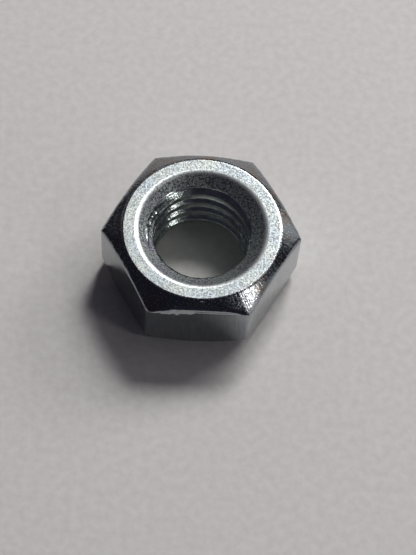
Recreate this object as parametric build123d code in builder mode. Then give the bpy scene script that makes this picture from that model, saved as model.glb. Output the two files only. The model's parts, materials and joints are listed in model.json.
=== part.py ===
"""Hexagon nut, M8 coarse thread, chamfered on both faces. One piece of steel.

Frame: millimetres, +Z along the thread, the origin at the middle of the lower bearing
face. Two corners of the hexagon lie on the X axis, so two flats face +Y and -Y.
"""

from build123d import *

import os
from math import ceil, cos, radians, sin, tan

# Hexagon
ACROSS_FLATS = 12.8
NUT_HEIGHT = 6.3
CORNER_ROUNDING = 0.25
CHAMFER_INSET = 0.6  # from each flat in to the bearing face, which is round
CHAMFER_ANGLE = 34.0  # from the bearing face down to the flats
CHAMFER_HOLLOW = 0.02  # how far the forged chamfer dips below a straight cone

# Thread, ISO metric form, right hand
THREAD_DIAMETER = 8.0
THREAD_PITCH = 1.25
THREAD_DEPTH = 0.5  # from the crests, where the drilled hole is left, out to the roots
FLANK_ANGLE = 30.0  # each flank, from the plane square to the axis
ROOT_FLAT = THREAD_PITCH / 8
THREAD_START = 0.0  # turn of the whole thread about the axis, degrees

# Mouths of the thread, coned and rolled over into the bearing faces
TOP_MOUTH_WIDENING = 1.4  # how much wider than the thread the cone is, where it meets the face
BOTTOM_MOUTH_WIDENING = 0.9
MOUTH_ANGLE = 90.0  # full angle of each cone
LIP_RADIUS = 0.55
LIP_SHARE = 0.9  # of the ring or the cone beside it, the most that a lip may take

# How far the cutting shapes run past the metal, so that no faces coincide
OVERRUN = 0.1

CORNER_RADIUS = ACROSS_FLATS / 2 / cos(radians(30))
BEARING_RADIUS = ACROSS_FLATS / 2 - CHAMFER_INSET
CREST_RADIUS = THREAD_DIAMETER / 2 - THREAD_DEPTH
TOP_MOUTH_RADIUS = (THREAD_DIAMETER + TOP_MOUTH_WIDENING) / 2
BOTTOM_MOUTH_RADIUS = (THREAD_DIAMETER + BOTTOM_MOUTH_WIDENING) / 2


def mouth_depth(mouth_radius):
    """Depth at which a mouth's cone has narrowed to the crests of the thread."""
    return (mouth_radius - CREST_RADIUS) / tan(radians(MOUTH_ANGLE / 2))


def lip_radius(mouth_radius):
    """Radius of a mouth's lip, within the ring outside it and the cone inside it."""
    ring = BEARING_RADIUS - mouth_radius
    cone = (mouth_radius - CREST_RADIUS) / sin(radians(MOUTH_ANGLE / 2))
    turn = 90 - MOUTH_ANGLE / 2
    return min(LIP_RADIUS, LIP_SHARE * min(ring, cone) / tan(radians(turn / 2)))


def turned_section():
    """Half section of a round blank with both chamfers and both mouths, as a face on XZ."""
    rim = CORNER_RADIUS + OVERRUN
    rim_drop = (rim - BEARING_RADIUS) * tan(radians(CHAMFER_ANGLE))
    wall_bottom = mouth_depth(BOTTOM_MOUTH_RADIUS)
    wall_top = NUT_HEIGHT - mouth_depth(TOP_MOUTH_RADIUS)
    bottom_lip = (BOTTOM_MOUTH_RADIUS, 0)
    top_lip = (TOP_MOUTH_RADIUS, NUT_HEIGHT)
    bottom_edge = (BEARING_RADIUS, 0)
    top_edge = (BEARING_RADIUS, NUT_HEIGHT)
    with BuildSketch(Plane.XZ) as section:
        with BuildLine():
            SagittaArc(bottom_edge, (rim, rim_drop), CHAMFER_HOLLOW)
            Line((rim, rim_drop), (rim, NUT_HEIGHT - rim_drop))
            SagittaArc((rim, NUT_HEIGHT - rim_drop), top_edge, CHAMFER_HOLLOW)
            Polyline(
                top_edge,
                top_lip,
                (CREST_RADIUS, wall_top),
                (0, wall_top),
                (0, wall_bottom),
                (CREST_RADIUS, wall_bottom),
                bottom_lip,
                bottom_edge,
            )
        make_face()
        fillet(section.vertices().sort_by_distance(bottom_lip)[0], lip_radius(BOTTOM_MOUTH_RADIUS))
        fillet(section.vertices().sort_by_distance(top_lip)[0], lip_radius(TOP_MOUTH_RADIUS))
    return section.sketch


def one_turn_of_groove():
    """One turn of the V groove that the tap cuts, rising from Z = 0 and starting on +X."""
    root_radius = THREAD_DIAMETER / 2
    open_radius = CREST_RADIUS - OVERRUN
    root_half = ROOT_FLAT / 2
    open_half = root_half + (root_radius - open_radius) * tan(radians(FLANK_ANGLE))
    with BuildPart() as turn:
        with BuildLine() as path:
            Helix(pitch=THREAD_PITCH, height=THREAD_PITCH, radius=CREST_RADIUS)
        with BuildSketch(Plane.XZ):
            with BuildLine():
                Polyline(
                    (open_radius, -open_half),
                    (root_radius, -root_half),
                    (root_radius, root_half),
                    (open_radius, open_half),
                    close=True,
                )
            make_face()
        sweep(path=path.line, is_frenet=True)
    return turn.part


groove_turn = one_turn_of_groove().rotate(Axis.Z, THREAD_START)
turns = ceil(NUT_HEIGHT / THREAD_PITCH) + 2  # one more turn past each face

with BuildPart() as hex_nut:
    with BuildSketch():
        RegularPolygon(ACROSS_FLATS / 2, side_count=6, major_radius=False)
    extrude(amount=NUT_HEIGHT)
    fillet(hex_nut.edges().filter_by(Axis.Z), radius=CORNER_ROUNDING)
    revolve(turned_section(), axis=Axis.Z, mode=Mode.INTERSECT)
    Hole(CREST_RADIUS)
    for number in range(turns):
        with Locations((0, 0, (number - 1) * THREAD_PITCH)):
            add(groove_turn, mode=Mode.SUBTRACT, clean=False)
hex_nut.part.label = "hex_nut"

os.makedirs("parts", exist_ok=True)
export_step(hex_nut.part, "parts/hex_nut.step")
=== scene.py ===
"""Bright zinc hexagon nut, M8 coarse thread, standing on a pale surface.

The nut's skin is one closed surface over two parameters: the turn about the thread's axis, and the
way round its section, from the mouth of the thread over the upper face, down the flats, under the
lower face and back up the bore. Everything is in metres, and a number times MM is in millimetres.
"""

import json
import math

import bpy
import numpy as np
from mathutils import Matrix, Vector


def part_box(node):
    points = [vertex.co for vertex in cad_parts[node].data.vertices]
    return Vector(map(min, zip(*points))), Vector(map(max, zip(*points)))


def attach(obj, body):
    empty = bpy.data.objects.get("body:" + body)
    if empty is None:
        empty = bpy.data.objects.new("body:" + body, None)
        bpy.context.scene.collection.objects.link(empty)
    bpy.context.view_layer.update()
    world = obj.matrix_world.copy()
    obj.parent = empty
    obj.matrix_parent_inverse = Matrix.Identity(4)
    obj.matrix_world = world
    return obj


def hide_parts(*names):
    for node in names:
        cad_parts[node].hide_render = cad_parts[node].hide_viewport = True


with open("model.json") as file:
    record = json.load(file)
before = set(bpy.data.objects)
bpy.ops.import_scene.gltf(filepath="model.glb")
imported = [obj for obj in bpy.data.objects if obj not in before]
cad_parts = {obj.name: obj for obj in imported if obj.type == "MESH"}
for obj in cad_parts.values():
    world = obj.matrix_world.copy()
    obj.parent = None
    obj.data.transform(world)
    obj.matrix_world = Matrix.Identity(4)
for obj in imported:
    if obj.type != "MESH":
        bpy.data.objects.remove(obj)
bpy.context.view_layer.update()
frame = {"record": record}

MM = 0.001
FULL_TURN = 2 * math.pi
SIXTH = FULL_TURN / 6

# Sizes of the nut. The height, the width across the flats and the bore come from the frame
LOW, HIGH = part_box("hex_nut")
HEIGHT = HIGH.z
FLAT = HIGH.y
THREAD = next(mount for mount in frame["record"]["mounts"] if mount["name"] == "thread")
CREST = THREAD["dims"]["r_mm"] * MM
WALL_HALF = THREAD["dims"]["length_mm"] * MM / 2
TOP_MOUTH = CREST + HEIGHT - THREAD["pos_m"][2] - WALL_HALF
BOTTOM_MOUTH = CREST + THREAD["pos_m"][2] - WALL_HALF
CORNER_ROUND = 0.35 * MM
BEARING = FLAT - 0.6 * MM
CHAMFER_SLOPE = math.tan(math.radians(34))
RIM_EDGE = 0.10 * MM
WEAR_END = 1.7 * MM
LIP_ROUND = 0.52 * MM
ROOT = 4.0 * MM
PITCH = 1.25 * MM
ROOT_FLAT = PITCH / 8
FLANK_SLOPE = math.tan(math.radians(30))
CREST_HALF = (PITCH - ROOT_FLAT) / 2 - (ROOT - CREST) * FLANK_SLOPE
CREST_HOLLOW = 0.03 * MM
BORE_END = ROOT + 0.15 * MM

# Wear and forging marks, and the places where a highlight and a sheen are painted. Angles are in
# degrees round from +X, and the front is at 270
RAGGED = 0.020 * MM
ROLLED_EDGE = 0.10 * MM
ROLLED_TILT = 35
SHORT_FILL = 0.72 * MM
SHORT_FILL_TILT = 38
EDGE_SOFTNESS = 0.03 * MM
CONE_SOFTNESS = 0.05 * MM
FRONT_FLAT = (241, 299)
THICK_BURR = (240.8, 267.2)
BURR_DROP = 1.05 * MM
BURR_SAG = 0.08 * MM
BURR_FALL = 0.08 * MM
BURR_RISE = 0.10 * MM
THICK_BURR_RISE = 0.30 * MM
BURR_STANDS = 0.03 * MM
THICK_BURR_STANDS = 0.10 * MM
# Round this corner the chamfer's skin is torn, and its colour is painted pale as a painted highlight
TORN_AND_GLINT_CORNER = 305
# Toward this side the lip is rubbed smoother, and its colour is painted lighter, a painted sheen
RUBBED_AND_SHEEN_SIDE = 190

# Marks of the tap: torn crests, chatter, and the edge it lifts where the thread runs out
TEAR = 0.006 * MM
LEAD_OF_CHATTER = 1.7
LIFTED_EDGE = 0.05 * MM
LIFTED_HEIGHT = 0.05 * MM
LIFTED_CHANGE = 0.018 * MM
POLISHED_EDGE = 0.07 * MM
RUN_OUT_SOFTNESS = 0.02 * MM
GROOVE_SOFTNESS = 0.10 * MM
CREST_SOFTNESS = 0.025 * MM

# Finishes, each a material slot of the nut
COUNTERSUNK, RUBBED_WITH_SHEEN, PRESSED, FORGED, DRAWN, TAPPED = range(6)
# The specks, in mm. Real ones are partly finer, and these are as coarse as they need to be to show
SPECK = 0.115

# The stage and the view of it
FLOOR_HALF = 0.6
CAMERA_TURN = -2.774
CAMERA_RISE = 63.02
CAMERA_ROLL = 5.087
CAMERA_DISTANCE = 127.26 * MM
CAMERA_LENS = 108.8
CAMERA_SENSOR = 36
CAMERA_NEAR = 0.01
AIM_RIGHT = 0.694 * MM
AIM_UP = -0.759 * MM
LIGHT_DISTANCE = 0.5
# Each light's turn and rise in degrees, width in metres and brightness in W / (m2 sr)
LIGHTS = {
    "window": (62, 48, 0.18, 10.5),
    "lamp": (72, 54, 0.11, 22.0),
    "low_window": (40, 31, 0.15, 9.5),
    "ceiling": (25, 64, 0.20, 0.8),
    "window_sill": (34, 13, 0.18, 0.6),
    "back_wall": (105, 28, 0.25, 0.35),
    "right_wall": (335, 16, 0.34, 0.35),
    "left_wall": (138, 30, 0.22, 0.2),
    "second_lamp": (332, 42, 0.08, 7.0),
}

# How finely the surface is divided
CORNER_TURNS = 8
FLAT_TURNS = 46
MOUTH_ROWS = 9
RIM_ROWS = 4
CHAMFER_ROWS = 11
EDGE_ROWS = 24
FLAT_ROWS = 9
PITCH_ROWS = 34


# ---------------------------------------------------------------- numbers that vary smoothly
def waves(turn, seed, orders, size):
    """A smooth closed wobble along a full turn: a sum of cosines, one for each whole number of
    waves in orders, each with its own seeded height and start, scaled to about size."""
    chance = np.random.default_rng(seed)
    heights = chance.normal(size=len(orders))
    starts = chance.uniform(0, FULL_TURN, size=len(orders))
    total = np.cos(np.multiply.outer(turn, orders) + starts) @ heights
    return size * total / math.sqrt(len(orders))


def window(value, low, high, soft):
    """1 between low and high and 0 outside, with ramps soft wide that ease in and out."""
    up = np.clip((value - low) / soft + 0.5, 0, 1)
    down = np.clip((high - value) / soft + 0.5, 0, 1)
    return (up * up * (3 - 2 * up)) * (down * down * (3 - 2 * down))


def smooth_max(a, b, soft):
    """The larger of a and b, rounded where they cross: (a + b + sqrt((a - b)^2 + soft^2)) / 2."""
    return (a + b + np.sqrt((a - b) ** 2 + soft**2)) / 2


def smooth_min(a, b, soft):
    """The smaller of a and b, rounded over where they cross."""
    return -smooth_max(-a, -b, soft)


# ---------------------------------------------------------------- outline of the hexagon
def turns_of_hexagon():
    """Angles for one full turn, close together round each rounded corner and even on each flat."""
    corner_half = CORNER_ROUND * math.sin(SIXTH / 2) / (FLAT / math.cos(SIXTH / 2))
    corner = np.linspace(-corner_half, corner_half, CORNER_TURNS, endpoint=False)
    flat = np.linspace(corner_half, SIXTH - corner_half, FLAT_TURNS, endpoint=False)
    return (np.concatenate([corner, flat]) + SIXTH * np.arange(6)[:, None]).ravel()


def angle_from_corner(turn):
    """Angle from the nearest corner of the hexagon, whose corners are at 0, 60, 120 degrees..."""
    return np.abs((turn + SIXTH / 2) % SIXTH - SIXTH / 2)


def outline_radius(turn):
    """Distance from the axis to the hexagon: FLAT / cos(angle from the flat's middle), or on a
    rounded corner the outer crossing with the corner's circle."""
    from_corner = angle_from_corner(turn)
    flat = FLAT / np.cos(SIXTH / 2 - from_corner)
    centre = (FLAT - CORNER_ROUND) / math.cos(SIXTH / 2)
    aside = centre * np.sin(from_corner)
    rounded = centre * np.cos(from_corner) + np.sqrt(np.maximum(CORNER_ROUND**2 - aside**2, 0))
    return np.where(aside < CORNER_ROUND * math.sin(SIXTH / 2), rounded, flat)


# ---------------------------------------------------------------- stretches of the section
def mouth_and_ring(mouth):
    """Radius and drop below the bearing face, from the bore's end over the mouth's 45 degree cone,
    its lip and the flat ring to the ring's rim. The lip is an arc tangent to cone and ring."""
    lean = math.radians(45)
    ring_start = mouth + LIP_ROUND * math.tan(lean / 2)
    swing = np.linspace(lean, 0, MOUTH_ROWS)
    lip_radius = ring_start - LIP_ROUND * np.sin(swing)
    lip_drop = LIP_ROUND * (1 - np.cos(swing))
    cone_radius = np.linspace(BORE_END, lip_radius[0], MOUTH_ROWS, endpoint=False)
    ring_radius = np.linspace(ring_start, BEARING - RIM_EDGE, MOUTH_ROWS)[1:]
    radius = np.concatenate([cone_radius, lip_radius, ring_radius])
    drop = np.concatenate([mouth - cone_radius, lip_drop, 0 * ring_radius])
    return radius, drop


def worn_plane(turn, drop, end, tilt):
    """Radius of a plane laid against a flat that leans back by tilt degrees and meets the flat at
    the drop called end: (FLAT + (drop - end) * tan(tilt)) / cos(angle from the flat's middle)."""
    from_middle = SIXTH / 2 - angle_from_corner(turn)
    return (FLAT + (drop - end) * math.tan(math.radians(tilt))) / np.cos(from_middle)


def front_flat(turn):
    """1 on the flat at the front and 0 on the others."""
    return window(np.degrees(turn), *FRONT_FLAT, soft=4)


def burr(turn, drop, ragged):
    """How far the burr under the front chamfer stands out from its flat. It grows evenly down to
    its lip, then falls back at once. It is thick on the left and only a thread on the right."""
    thick = window(np.degrees(turn), *THICK_BURR, soft=1.2)
    stands = BURR_STANDS + (THICK_BURR_STANDS + 2 * ragged) * thick
    lip = BURR_DROP + BURR_SAG * thick + ragged
    start = lip - BURR_RISE - THICK_BURR_RISE * thick
    growing = np.clip((drop - start) / (lip - start), 0, 1)
    falling = np.clip((lip + BURR_FALL - drop) / BURR_FALL, 0, 1)
    return stands * growing * falling


def chamfer_and_edge(turn, front):
    """Radius and drop from the ring's rim over the chamfer and its edge to the clean flat. After
    the rim, the radius is the smooth minimum of the chamfer's cone, the hexagon, and the planes
    that wear and a short fill in the forging die leave between the two, the second one where
    front is 1. Rows crowd together toward the sharp edge from both sides."""
    outline = outline_radius(turn)
    even = np.ones_like(turn)
    rim = np.linspace(0, 1, RIM_ROWS + 1)[1:, None]
    rim_radius = BEARING - RIM_EDGE + 2 * RIM_EDGE * rim * even
    rim_drop = RIM_EDGE * CHAMFER_SLOPE * rim**2 * even

    sharp = (outline - BEARING) * CHAMFER_SLOPE
    ease = np.sin(np.linspace(0, math.pi / 2, CHAMFER_ROWS + 1))[1:, None]
    above = rim_drop[-1] + (sharp - rim_drop[-1]) * ease
    below = sharp + (WEAR_END - sharp) * np.linspace(0, 1, EDGE_ROWS + 1)[1:, None] ** 1.5
    drop = np.vstack([above, below])
    cone = BEARING + drop / CHAMFER_SLOPE

    ragged = waves(turn, seed=3, orders=np.arange(9, 110), size=RAGGED)
    rolled = worn_plane(turn, drop, sharp + ROLLED_EDGE + ragged, ROLLED_TILT)
    short_fill = worn_plane(turn, drop, SHORT_FILL + ragged, SHORT_FILL_TILT)
    out_of_reach = (1 - front) * MM
    radius = smooth_min(outline, rolled, EDGE_SOFTNESS)
    radius = smooth_min(radius, short_fill + out_of_reach, EDGE_SOFTNESS)
    radius = smooth_min(radius, cone, CONE_SOFTNESS) + front * burr(turn, drop, ragged)
    return np.vstack([rim_radius, radius]), np.vstack([rim_drop, drop])


def thread_radius(phase):
    """Radius of the thread at a phase along one pitch, 0 at a root: the 60 degree V of the groove,
    cut off at the root's flat and at the crest, with its edges rounded. The tap raises the crest's
    two edges, so between them it is hollow by a parabola."""
    away = np.abs((phase + 0.5) % 1 - 0.5) * PITCH
    flank = ROOT - (away - ROOT_FLAT / 2) / FLANK_SLOPE
    groove = smooth_min(flank, ROOT, GROOVE_SOFTNESS)
    from_crest = (PITCH / 2 - away) / CREST_HALF
    crest = CREST + CREST_HOLLOW * (1 - np.minimum(from_crest, 1) ** 2)
    return smooth_max(groove, crest, CREST_SOFTNESS)


def phases_of_pitch():
    """Phases of the rows along one pitch, closer together where the thread's edges turn."""
    crest_edge = 0.5 - CREST_HALF / PITCH
    root_edge = ROOT_FLAT / 2 / PITCH
    fine = np.linspace(0, 1, 2001)
    crowding = np.ones_like(fine)
    for edge in (root_edge, crest_edge, 1 - crest_edge, 1 - root_edge):
        crowding += 4 * np.exp(-(((fine - edge) / 0.025) ** 2))
    total = np.cumsum(crowding) - crowding[0]
    return np.interp(np.arange(PITCH_ROWS) / PITCH_ROWS * total[-1], total, fine)


# ---------------------------------------------------------------- the skin
def outside_rows(turn):
    """Radius, height and finish of the rows from the upper mouth over the outside to the lower
    mouth. A row's finish is that of the faces between it and the next row."""
    even = np.ones_like(turn)
    top_radius, top_drop = mouth_and_ring(TOP_MOUTH)
    bottom_radius, bottom_drop = mouth_and_ring(BOTTOM_MOUTH)
    worn_radius, worn_drop = chamfer_and_edge(turn, front_flat(turn))
    under_radius, under_drop = chamfer_and_edge(turn, 0 * turn)
    share = np.linspace(0, 1, FLAT_ROWS + 1)[1:-1, None]
    flat_height = HEIGHT - WEAR_END + share * (2 * WEAR_END - HEIGHT) * even
    radius = np.vstack([
        top_radius[:, None] * even,
        worn_radius,
        worn_radius[-1] * np.ones_like(share),
        under_radius[::-1],
        bottom_radius[::-1, None] * even,
    ])
    height = np.vstack([
        HEIGHT - top_drop[:, None] * even,
        HEIGHT - worn_drop,
        flat_height,
        under_drop[::-1],
        bottom_drop[::-1, None] * even,
    ])
    down_to_middle = (
        [COUNTERSUNK] * (MOUTH_ROWS + 1)
        + [RUBBED_WITH_SHEEN] * (MOUTH_ROWS - 2)
        + [PRESSED] * (MOUTH_ROWS - 1)
        + [FORGED] * (RIM_ROWS + CHAMFER_ROWS)
        + [DRAWN] * EDGE_ROWS
    )
    finish = down_to_middle + [DRAWN] * (len(share) + 1) + down_to_middle[::-1]
    return radius, height, np.array(finish)


def bore_rows(turn, low, high):
    """Radius, height and finish of the bore's rows. They climb with the thread, one pitch in a full
    turn, and are held at low and high, where the mouths' cones take over. Where the thread runs out
    into a cone the tap has lifted a thin broken edge, exp(-(gap / LIFTED_EDGE)^2) in section."""
    first = math.floor(low / PITCH) - 1
    pitches = math.ceil(high / PITCH) - first + 1
    phase = (first + np.arange(pitches)[:, None] + phases_of_pitch()).reshape(-1, 1)
    climb = turn / FULL_TURN
    height = np.clip((phase + climb) * PITCH, low, high)
    cone = np.maximum(TOP_MOUTH - HEIGHT + height, BOTTOM_MOUTH - height)

    torn = waves(turn, seed=11, orders=np.arange(20, 130), size=TEAR)
    along = turn + LEAD_OF_CHATTER * height / PITCH
    chatter = waves(along, seed=12, orders=np.arange(12, 60), size=TEAR)
    thread = thread_radius(height / PITCH - climb) + torn + chatter
    clear_of_ends = window(height, low + LIFTED_EDGE, high - LIFTED_EDGE, soft=LIFTED_EDGE)
    lifted = np.exp(-(((thread - cone) / LIFTED_EDGE) ** 2)) * clear_of_ends
    broken = LIFTED_HEIGHT + waves(turn, seed=13, orders=np.arange(8, 70), size=LIFTED_CHANGE)
    radius = smooth_max(thread, cone, RUN_OUT_SOFTNESS) - broken * lifted
    return radius, height, np.where(cone > thread + POLISHED_EDGE, COUNTERSUNK, TAPPED)


def quads_between(here, there, here_next, there_next):
    """Four-sided faces between rows of point numbers and the same rows one turn on."""
    return np.stack([here, there, there_next, here_next], axis=-1).reshape(-1, 4)


def skin():
    """Points, faces and finishes of the whole nut. The bore's last turn joins its first one a pitch
    higher up, so its rows run on as one helix. Rows held at an end share the mouth's points."""
    turn = turns_of_hexagon()
    radius, height, finish = outside_rows(turn)
    low, high = height[-1, 0], height[0, 0]
    bore_radius, bore_height, bore_finish = bore_rows(turn, low, high)
    all_radius = np.vstack([radius, bore_radius])
    all_height = np.vstack([height, bore_height])
    x_and_y = np.stack([np.cos(turn), np.sin(turn)], axis=-1) * all_radius[:, :, None]
    points = np.concatenate([x_and_y, all_height[:, :, None]], axis=-1).reshape(-1, 3)

    outside = np.arange(radius.size).reshape(radius.shape)
    bore = radius.size + np.arange(bore_radius.size).reshape(bore_radius.shape)
    bore = np.where(bore_height <= low, outside[-1], bore)
    bore = np.where(bore_height >= high, outside[0], bore)
    outside_next = np.roll(outside, -1, axis=1)
    seam = np.concatenate([bore[PITCH_ROWS:, 0], np.full(PITCH_ROWS, outside[0, 0])])
    bore_next = np.hstack([bore[:, 1:], seam[:, None]])
    outside_quads = quads_between(outside[:-1], outside[1:], outside_next[:-1], outside_next[1:])
    bore_quads = quads_between(bore[:-1], bore[1:], bore_next[:-1], bore_next[1:])
    finishes = np.concatenate([np.repeat(finish, len(turn)), bore_finish[:-1].ravel()])
    return points, np.vstack([outside_quads, bore_quads]), finishes


def without_repeats(quads, finishes):
    """The faces as lists of point numbers, and their finishes. A face that names a point twice
    keeps it once, and a face with fewer than three points is left out."""
    own = quads != np.roll(quads, 1, axis=1)
    corners = own.sum(axis=1)
    triangles = quads[corners == 3][own[corners == 3]].reshape(-1, 3)
    faces = quads[corners == 4].tolist() + triangles.tolist()
    return faces, np.concatenate([finishes[corners == 4], finishes[corners == 3]])


def make_nut(materials):
    """The nut as one mesh object at the origin, with a material slot for each finish."""
    points, quads, finishes = skin()
    used, renumbered = np.unique(quads, return_inverse=True)
    faces, finishes = without_repeats(renumbered.reshape(quads.shape), finishes)
    mesh = bpy.data.meshes.new("nut_body")
    mesh.from_pydata(points[used].tolist(), [], faces)
    for material in materials:
        mesh.materials.append(material)
    mesh.polygons.foreach_set("material_index", finishes.astype(np.int32))
    mesh.shade_smooth()
    mesh.update()
    nut = bpy.data.objects.new("nut_body", mesh)
    bpy.context.scene.collection.objects.link(nut)
    return nut


# ---------------------------------------------------------------- materials
def colour(hex_code):
    """An sRGB hex colour as linear red, green, blue and alpha."""
    channels = [int(hex_code[i : i + 2], 16) / 255 for i in (1, 3, 5)]
    linear = [c / 12.92 if c <= 0.04045 else ((c + 0.055) / 1.055) ** 2.4 for c in channels]
    return (*linear, 1.0)


def connect(tree, node, inputs):
    """Sets a node's inputs. Each is a value, an output, or a node whose output in use is linked."""
    for name, value in inputs.items():
        if isinstance(value, bpy.types.Node):
            value = next(output for output in value.outputs if output.enabled)
        if isinstance(value, bpy.types.NodeSocket):
            tree.links.new(value, node.inputs[name])
        else:
            node.inputs[name].default_value = value


def add(tree, kind, inputs=None, **settings):
    """Adds a node with its settings and inputs."""
    node = tree.nodes.new(kind)
    for name, value in settings.items():
        setattr(node, name, value)
    connect(tree, node, inputs or {})
    return node


def new_material(name, metallic):
    """A material with one Principled shader. Returns the material, its tree, the shader, and the
    place on the object as an output."""
    material = bpy.data.materials.new(name)
    material.use_nodes = True
    tree = material.node_tree
    tree.nodes.clear()
    shader = add(tree, "ShaderNodeBsdfPrincipled", {"Metallic": metallic})
    add(tree, "ShaderNodeOutputMaterial", {"Surface": shader})
    return material, tree, shader, add(tree, "ShaderNodeTexCoord").outputs["Object"]


def per_mm(size_mm):
    """Scale of a texture in metres whose features are size_mm millimetres across."""
    return 1 / (size_mm * MM)


def from_axis(tree, place):
    """The level direction from the thread's axis to a place, and the level vector it comes from."""
    level = add(tree, "ShaderNodeVectorMath", {0: place, 1: (1, 1, 0)}, operation="MULTIPLY")
    return add(tree, "ShaderNodeVectorMath", {0: level}, operation="NORMALIZE"), level


def streaks_round_axis(tree, place, along_mm, across_mm):
    """Noise in streaks that run round the axis, along_mm long and across_mm wide."""
    direction, level = from_axis(tree, place)
    squeeze = FLAT * across_mm / along_mm
    around = add(tree, "ShaderNodeVectorMath", {0: direction, "Scale": squeeze}, operation="SCALE")
    radius = add(tree, "ShaderNodeVectorMath", {0: level}, operation="LENGTH")
    height = add(tree, "ShaderNodeSeparateXYZ", {0: place}).outputs["Z"]
    section = add(tree, "ShaderNodeMath", {0: height, 1: radius}, operation="ADD")
    upright = add(tree, "ShaderNodeCombineXYZ", {"Z": section})
    where = add(tree, "ShaderNodeVectorMath", {0: around, 1: upright}, operation="ADD")
    inputs = {"Vector": where, "Scale": per_mm(across_mm), "Detail": 2}
    return add(tree, "ShaderNodeTexNoise", inputs)


def stippled_face():
    """Bright zinc on a bearing face that the die pressed flat and the plating barrel tumbled: the
    eye sees it evenly lit, with grey specks and sparkles a tenth of a millimetre across."""
    material, tree, shader, place = new_material("zinc_on_pressed_bearing_face", 1.0)
    specks = add(tree, "ShaderNodeTexNoise", {"Vector": place, "Scale": per_mm(SPECK), "Detail": 2})
    clouds = add(tree, "ShaderNodeTexNoise", {"Vector": place, "Scale": per_mm(2.2), "Detail": 1})
    bluish = add(tree, "ShaderNodeMapRange", {"Value": clouds, "From Min": 0.4, "From Max": 0.7})
    clear_colours = {0: bluish, 6: colour("#cbd0cc"), 7: colour("#bec7ce")}
    clear = add(tree, "ShaderNodeMix", clear_colours, data_type="RGBA")
    bare = add(tree, "ShaderNodeMapRange", {"Value": specks, "From Min": 0.36, "From Max": 0.58})
    shade = add(tree, "ShaderNodeMix", {0: bare, 6: colour("#929797"), 7: clear}, data_type="RGBA")
    roughness = add(tree, "ShaderNodeMapRange", {
        "Value": specks,
        "From Min": 0.3,
        "From Max": 0.7,
        "To Min": 0.68,
        "To Max": 0.50,
    })
    bump = add(tree, "ShaderNodeBump", {"Strength": 0.5, "Distance": 0.03 * MM, "Height": specks})
    connect(tree, shader, {"Base Color": shade, "Roughness": roughness, "Normal": bump})
    return material


def countersunk_mouth():
    """Bright zinc on the mouth of the thread, countersunk before plating: the eye sees a duller
    grey than the face, with faint cutting rings, dark pits and specks that catch the light."""
    material, tree, shader, place = new_material("zinc_on_countersunk_mouth", 1.0)
    specks = add(tree, "ShaderNodeTexNoise", {"Vector": place, "Scale": per_mm(0.13), "Detail": 3})
    clouds = add(tree, "ShaderNodeTexNoise", {"Vector": place, "Scale": per_mm(1.8), "Detail": 1})
    rings = streaks_round_axis(tree, place, along_mm=0.9, across_mm=0.06)
    relief = add(tree, "ShaderNodeMath", {0: specks, 1: rings}, operation="ADD")
    violet = add(tree, "ShaderNodeMapRange", {"Value": clouds, "From Min": 0.4, "From Max": 0.65})
    clear_colours = {0: violet, 6: colour("#cdd2d0"), 7: colour("#c5c2ce")}
    clear = add(tree, "ShaderNodeMix", clear_colours, data_type="RGBA")
    bare = add(tree, "ShaderNodeMapRange", {"Value": specks, "From Min": 0.40, "From Max": 0.60})
    shade = add(tree, "ShaderNodeMix", {0: bare, 6: colour("#5e6267"), 7: clear}, data_type="RGBA")
    roughness = add(tree, "ShaderNodeMapRange", {
        "Value": specks,
        "From Min": 0.4,
        "From Max": 0.65,
        "To Min": 0.66,
        "To Max": 0.44,
    })
    bump = add(tree, "ShaderNodeBump", {"Strength": 0.6, "Distance": 0.03 * MM, "Height": relief})
    connect(tree, shader, {"Base Color": shade, "Roughness": roughness, "Normal": bump})
    return material


def rubbed_lip_with_painted_sheen():
    """Bright zinc on the rounded lip of the mouth, rubbed by the nuts that tumbled against it: the
    eye sees a bright soft band that is smoothest toward the left and duller on the right. Its colour
    is also painted lighter toward the left and darker on the right, a painted sheen."""
    material, tree, shader, place = new_material("zinc_on_rubbed_lip_with_painted_sheen", 1.0)
    direction, _ = from_axis(tree, place)
    specks = add(tree, "ShaderNodeTexNoise", {"Vector": place, "Scale": per_mm(SPECK), "Detail": 2})
    side = {0: direction, 1: tuple(toward(RUBBED_AND_SHEEN_SIDE, 0))}
    facing = add(tree, "ShaderNodeVectorMath", side, operation="DOT_PRODUCT")
    rubbed_and_sheen = add(tree, "ShaderNodeMapRange", {"Value": facing, "From Min": -0.9, "From Max": 0.5})
    # Painted sheen: the lip's colour goes from darker on the right to lighter toward the rubbed side
    clear_colours = {0: rubbed_and_sheen, 6: colour("#b1b4b4"), 7: colour("#dde0df")}
    clear = add(tree, "ShaderNodeMix", clear_colours, data_type="RGBA")
    bare = add(tree, "ShaderNodeMapRange", {"Value": specks, "From Min": 0.34, "From Max": 0.54})
    shade = add(tree, "ShaderNodeMix", {0: bare, 6: colour("#989c9d"), 7: clear}, data_type="RGBA")
    roughness = add(tree, "ShaderNodeMapRange", {"Value": rubbed_and_sheen, "To Min": 0.62, "To Max": 0.42})
    bump = add(tree, "ShaderNodeBump", {"Strength": 0.4, "Distance": 0.03 * MM, "Height": specks})
    connect(tree, shader, {"Base Color": shade, "Roughness": roughness, "Normal": bump})
    return material


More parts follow.
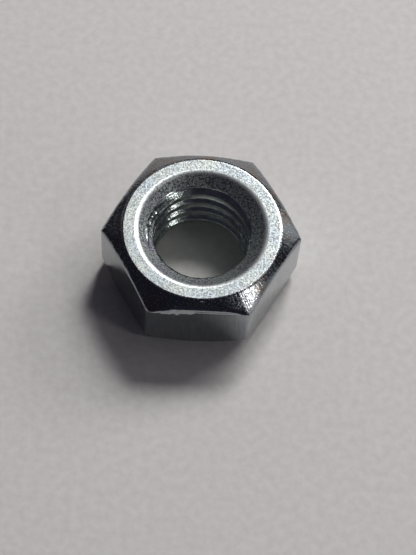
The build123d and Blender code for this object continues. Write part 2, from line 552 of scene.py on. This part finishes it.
def forged_chamfer():
    """Bright zinc on the forged chamfers: smooth enough to mirror its surroundings, with fine
    lines that run down the slope where the metal flowed, brownish stains and pale nicks. Round
    one corner the skin is torn, with a stronger bump, and there the colour is also painted pale:
    a painted highlight for the broken white glint the eye sees."""
    material, tree, shader, place = new_material("zinc_on_forged_chamfer", 1.0)
    direction, _ = from_axis(tree, place)
    # Lines 0.12 mm apart at the flats, as turns round a circle of radius 1
    flow_scale = per_mm(0.12) * FLAT
    flow = add(tree, "ShaderNodeTexNoise", {"Vector": direction, "Scale": flow_scale, "Detail": 3})
    nicks = add(tree, "ShaderNodeTexNoise", {"Vector": place, "Scale": per_mm(0.15), "Detail": 2})
    stains = add(tree, "ShaderNodeTexNoise", {"Vector": place, "Scale": per_mm(1.3), "Detail": 2})
    relief = add(tree, "ShaderNodeMath", {0: nicks, 1: flow}, operation="ADD")
    corner = {0: direction, 1: tuple(toward(TORN_AND_GLINT_CORNER, 0))}
    facing = add(tree, "ShaderNodeVectorMath", corner, operation="DOT_PRODUCT")
    # Near the torn corner this mask strengthens the bump and paints the colour pale, a painted
    # highlight
    torn = add(tree, "ShaderNodeMapRange", {"Value": facing, "From Min": 0.992, "From Max": 0.999})
    strength = add(tree, "ShaderNodeMapRange", {"Value": torn, "To Min": 0.3, "To Max": 0.5})
    stained = add(tree, "ShaderNodeMapRange", {"Value": stains, "From Min": 0.45, "From Max": 0.65})
    clean_colours = {0: stained, 6: colour("#90969a"), 7: colour("#8f8781")}
    clean = add(tree, "ShaderNodeMix", clean_colours, data_type="RGBA")
    pale = colour("#d4d7d9")
    nick_share = add(tree, "ShaderNodeMapRange", {
        "Value": nicks,
        "From Min": 0.58,
        "From Max": 0.72,
        "To Max": 0.45,
    })
    nicked = add(tree, "ShaderNodeMix", {0: nick_share, 6: clean, 7: pale}, data_type="RGBA")
    # Painted highlight: round the torn corner the colour is mixed to pale
    shade = add(tree, "ShaderNodeMix", {0: torn, 6: nicked, 7: pale}, data_type="RGBA")
    roughness = add(tree, "ShaderNodeMapRange", {
        "Value": nicks,
        "From Min": 0.35,
        "From Max": 0.7,
        "To Min": 0.13,
        "To Max": 0.30,
    })
    bump_inputs = {"Strength": strength, "Distance": 0.03 * MM, "Height": relief}
    bump = add(tree, "ShaderNodeBump", bump_inputs)
    connect(tree, shader, {"Base Color": shade, "Roughness": roughness, "Normal": bump})
    return material


def drawn_flat():
    """Bright zinc on the spanner flats, drawn through the die along the axis: the eye sees a soft
    reflection broken by faint upright streaks, with slightly bluer stains here and there."""
    material, tree, shader, place = new_material("zinc_on_drawn_flat", 1.0)
    # Streaks 0.16 mm wide, and longer along the axis as one over this share
    upright_share = 0.08
    squeeze = {0: place, 1: (1, 1, upright_share)}
    squeezed = add(tree, "ShaderNodeVectorMath", squeeze, operation="MULTIPLY")
    streaks = add(tree, "ShaderNodeTexNoise", {"Vector": squeezed, "Scale": per_mm(0.16), "Detail": 3})
    stains = add(tree, "ShaderNodeTexNoise", {"Vector": place, "Scale": per_mm(1.1), "Detail": 3})
    bluer = add(tree, "ShaderNodeMapRange", {"Value": stains, "From Min": 0.4, "From Max": 0.65})
    clean_colours = {0: bluer, 6: colour("#abafb1"), 7: colour("#a1a7af")}
    clean = add(tree, "ShaderNodeMix", clean_colours, data_type="RGBA")
    bare = add(tree, "ShaderNodeMapRange", {"Value": streaks, "From Min": 0.3, "From Max": 0.6})
    shade = add(tree, "ShaderNodeMix", {0: bare, 6: colour("#969b9f"), 7: clean}, data_type="RGBA")
    roughness = add(tree, "ShaderNodeMapRange", {
        "Value": streaks,
        "From Min": 0.3,
        "From Max": 0.7,
        "To Min": 0.18,
        "To Max": 0.10,
    })
    bump = add(tree, "ShaderNodeBump", {"Strength": 0.25, "Distance": 0.02 * MM, "Height": streaks})
    connect(tree, shader, {"Base Color": shade, "Roughness": roughness, "Normal": bump})
    return material


def tapped_thread():
    """Bright zinc in the tapped thread: the tap leaves polished flanks with torn streaks along the
    cut, so the eye sees sharp broken glints on a dark greenish grey."""
    material, tree, shader, place = new_material("zinc_on_tapped_thread", 1.0)
    streaks = streaks_round_axis(tree, place, along_mm=1.1, across_mm=0.07)
    tears = add(tree, "ShaderNodeTexNoise", {"Vector": place, "Scale": per_mm(0.35), "Detail": 2})
    relief = add(tree, "ShaderNodeMath", {0: streaks, 1: tears}, operation="ADD")
    bare = add(tree, "ShaderNodeMapRange", {"Value": tears, "From Min": 0.35, "From Max": 0.65})
    shade_colours = {0: bare, 6: colour("#b6c0bb"), 7: colour("#dde6e1")}
    shade = add(tree, "ShaderNodeMix", shade_colours, data_type="RGBA")
    roughness = add(tree, "ShaderNodeMapRange", {
        "Value": streaks,
        "From Min": 0.3,
        "From Max": 0.7,
        "To Min": 0.10,
        "To Max": 0.22,
    })
    bump = add(tree, "ShaderNodeBump", {"Strength": 0.5, "Distance": 0.02 * MM, "Height": relief})
    connect(tree, shader, {"Base Color": shade, "Roughness": roughness, "Normal": bump})
    return material


def pale_board():
    """Matt pale board under the nut: a warm off-white with a barely visible grain."""
    material, tree, shader, place = new_material("matt_pale_board", 0.0)
    grain = add(tree, "ShaderNodeTexNoise", {"Vector": place, "Scale": per_mm(0.6), "Detail": 3})
    paler = add(tree, "ShaderNodeMapRange", {"Value": grain, "From Min": 0.3, "From Max": 0.7})
    shade_colours = {0: paler, 6: colour("#d6d2cf"), 7: colour("#e1dddb")}
    shade = add(tree, "ShaderNodeMix", shade_colours, data_type="RGBA")
    bump = add(tree, "ShaderNodeBump", {"Strength": 0.15, "Distance": 0.05 * MM, "Height": grain})
    connect(tree, shader, {"Base Color": shade, "Roughness": 0.75, "Normal": bump})
    return material


# ---------------------------------------------------------------- stage
def make_floor(material):
    """A level square of board with its top at the nut's lower face."""
    mesh = bpy.data.meshes.new("floor")
    signs = ((-1, -1), (1, -1), (1, 1), (-1, 1))
    corners = [(x * FLOOR_HALF, y * FLOOR_HALF, LOW.z) for x, y in signs]
    mesh.from_pydata(corners, [], [(0, 1, 2, 3)])
    mesh.materials.append(material)
    floor = bpy.data.objects.new("floor", mesh)
    bpy.context.scene.collection.objects.link(floor)


def toward(turn, rise):
    """Unit vector at turn degrees round from +X and rise degrees up from level."""
    turn, rise = math.radians(turn), math.radians(rise)
    level = math.cos(rise)
    return Vector((math.cos(turn) * level, math.sin(turn) * level, math.sin(rise)))


def soft_light(name, turn, rise, size, brightness):
    """A round lamp that faces the nut. Its power gives the named brightness whatever its size."""
    lamp = bpy.data.lights.new(name, "AREA")
    lamp.shape = "DISK"
    lamp.size = size
    area = math.pi * size**2 / 4
    lamp.energy = brightness * math.pi * area
    light = bpy.data.objects.new(name, lamp)
    direction = toward(turn, rise)
    turned = direction.to_track_quat("Z", "Y").to_matrix().to_4x4()
    light.matrix_world = Matrix.Translation(direction * LIGHT_DISTANCE) @ turned
    bpy.context.scene.collection.objects.link(light)


def make_camera():
    """A long lens from in front and well above, turned and tilted a little, aimed near the axis."""
    back = toward(CAMERA_TURN - 90, CAMERA_RISE)
    level = toward(CAMERA_TURN, 0)
    upward = back.cross(level)
    roll = math.radians(CAMERA_ROLL)
    right = level * math.cos(roll) + upward * math.sin(roll)
    up = upward * math.cos(roll) - level * math.sin(roll)
    data = bpy.data.cameras.new("camera")
    data.lens = CAMERA_LENS
    data.sensor_width = CAMERA_SENSOR
    data.clip_start = CAMERA_NEAR
    camera = bpy.data.objects.new("camera", data)
    turned = Matrix((right, up, back)).transposed().to_4x4()
    stand = back * CAMERA_DISTANCE + right * AIM_RIGHT + up * AIM_UP
    camera.matrix_world = Matrix.Translation(stand) @ turned
    bpy.context.scene.collection.objects.link(camera)
    bpy.context.scene.camera = camera


def make_world(hex_code, brightness):
    """Even light from all round, much weaker than the lamps."""
    world = bpy.data.worlds.new("room")
    world.use_nodes = True
    background = world.node_tree.nodes["Background"]
    background.inputs["Color"].default_value = colour(hex_code)
    background.inputs["Strength"].default_value = brightness
    bpy.context.scene.world = world


# ---------------------------------------------------------------- build
nut = make_nut([
    countersunk_mouth(),
    rubbed_lip_with_painted_sheen(),
    stippled_face(),
    forged_chamfer(),
    drawn_flat(),
    tapped_thread(),
])
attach(nut, "root")
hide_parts("hex_nut")

make_floor(pale_board())
for name, setting in LIGHTS.items():
    soft_light(name, *setting)
make_world("#8f8cab", 0.07)
make_camera()
bpy.context.scene.view_settings.view_transform = "Standard"
